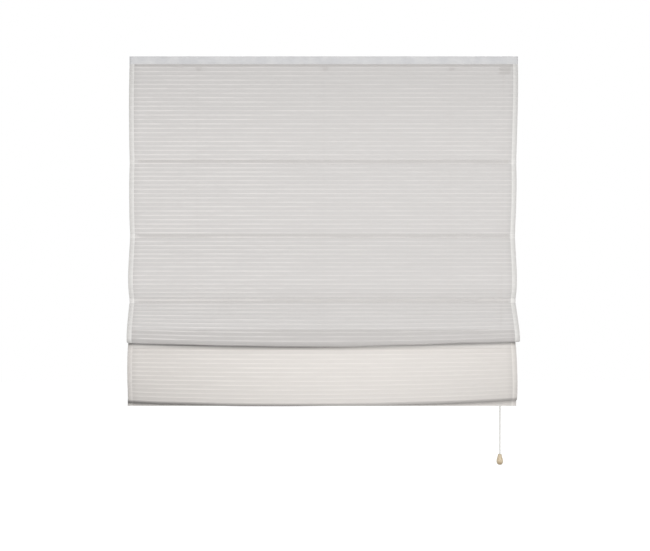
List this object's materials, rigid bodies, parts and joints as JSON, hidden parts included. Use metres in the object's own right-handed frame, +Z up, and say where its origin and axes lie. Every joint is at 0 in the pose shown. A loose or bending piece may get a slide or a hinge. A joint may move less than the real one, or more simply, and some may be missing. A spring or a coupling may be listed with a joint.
{
  "type": "roman blind",
  "caption": "Sheer ribbed roman blind, part raised in soft folds, with an opaque heading band, a corded headrail on wall brackets and a wooden pull acorn.",
  "frame": {"origin": "centre of the four wall screw holes, on the wall plane behind the headrail", "axes": "+X along the headrail to the pull cord's side, +Y into the wall, so the front faces -Y, +Z up"},
  "size_m": [1.208, 0.0951, 1.2654],
  "materials": {
    "rail_coat": "white powder coat",
    "white_plastic": "satin",
    "rod_plastic": "drawn rod",
    "band_cloth": "close plain weave",
    "sheer_cloth": "sheer plain weave with woven ribs",
    "tape_cloth": "woven tape",
    "bar_metal": "mill",
    "cord": "braided cord",
    "acorn_wood": "clear satin lacquer",
    "bright_steel": "zinc plated",
    "bracket_paint": "white enamel"
  },
  "bodies": {
    "blind": {"headrail": "rail_coat", "end_cap_left": "white_plastic", "end_cap_right": "white_plastic", "hook_tape": "white_plastic", "loop_tape": "band_cloth", "heading_band": "band_cloth", "cloth": "sheer_cloth", "pocket_tape_1": "tape_cloth", "pocket_tape_2": "tape_cloth", "pocket_tape_3": "tape_cloth", "pocket_tape_4": "tape_cloth", "pocket_tape_5": "tape_cloth", "rod_1": "rod_plastic", "rod_2": "rod_plastic", "rod_3": "rod_plastic", "rod_4": "rod_plastic", "rod_5": "rod_plastic", "bottom_bar": "bar_metal", "rings_1": "white_plastic", "rings_2": "white_plastic", "rings_3": "white_plastic", "rings_4": "white_plastic", "rings_5": "white_plastic", "rings_bottom": "white_plastic", "lift_cord_left": "cord", "lift_cord_centre": "cord", "lift_cord_right": "cord", "ring_knots": "cord", "acorn": "acorn_wood", "acorn_knot": "cord", "guide_left": "white_plastic", "guide_centre": "white_plastic", "guide_right": "white_plastic", "guide_axles": "bright_steel", "cord_lock": "white_plastic", "lock_pins": "bright_steel", "bracket_left": "bracket_paint", "bracket_right": "bracket_paint", "clip_rivets": "bright_steel"},
    "guide_wheel_left": {"guide_wheel_left": "white_plastic"},
    "guide_wheel_centre": {"guide_wheel_centre": "white_plastic"},
    "guide_wheel_right": {"guide_wheel_right": "white_plastic"},
    "lock_wheel": {"lock_wheel": "white_plastic"},
    "lock_pawl": {"lock_pawl": "bright_steel"},
    "swivel_clip_left": {"swivel_clip_left": "white_plastic"},
    "swivel_clip_right": {"swivel_clip_right": "white_plastic"}
  },
  "joints": [
    {"name": "guide_wheel_left_spin", "type": "hinge", "parent": "blind", "child": "guide_wheel_left", "pos_m": [-0.3886, -0.032, -0.0092], "axis": [0, 1, 0], "continuous": true},
    {"name": "guide_wheel_centre_spin", "type": "hinge", "parent": "blind", "child": "guide_wheel_centre", "pos_m": [0.0054, -0.032, -0.0092], "axis": [0, 1, 0], "continuous": true},
    {"name": "guide_wheel_right_spin", "type": "hinge", "parent": "blind", "child": "guide_wheel_right", "pos_m": [0.3994, -0.032, -0.0092], "axis": [0, 1, 0], "continuous": true},
    {"name": "lock_wheel_spin", "type": "hinge", "parent": "blind", "child": "lock_wheel", "pos_m": [0.5546, -0.032, -0.0092], "axis": [0, 1, 0], "continuous": true},
    {"name": "lock_pawl_release", "type": "hinge", "parent": "blind", "child": "lock_pawl", "pos_m": [0.568, -0.032, -0.0207], "axis": [0, -1, 0], "range_deg": [0, 40]},
    {"name": "swivel_clip_left_turn", "type": "hinge", "parent": "blind", "child": "swivel_clip_left", "pos_m": [-0.45, -0.032, 0], "axis": [0, 0, 1], "range_deg": [0, 90]},
    {"name": "swivel_clip_right_turn", "type": "hinge", "parent": "blind", "child": "swivel_clip_right", "pos_m": [0.45, -0.032, 0], "axis": [0, 0, 1], "range_deg": [0, 90]}
  ]
}
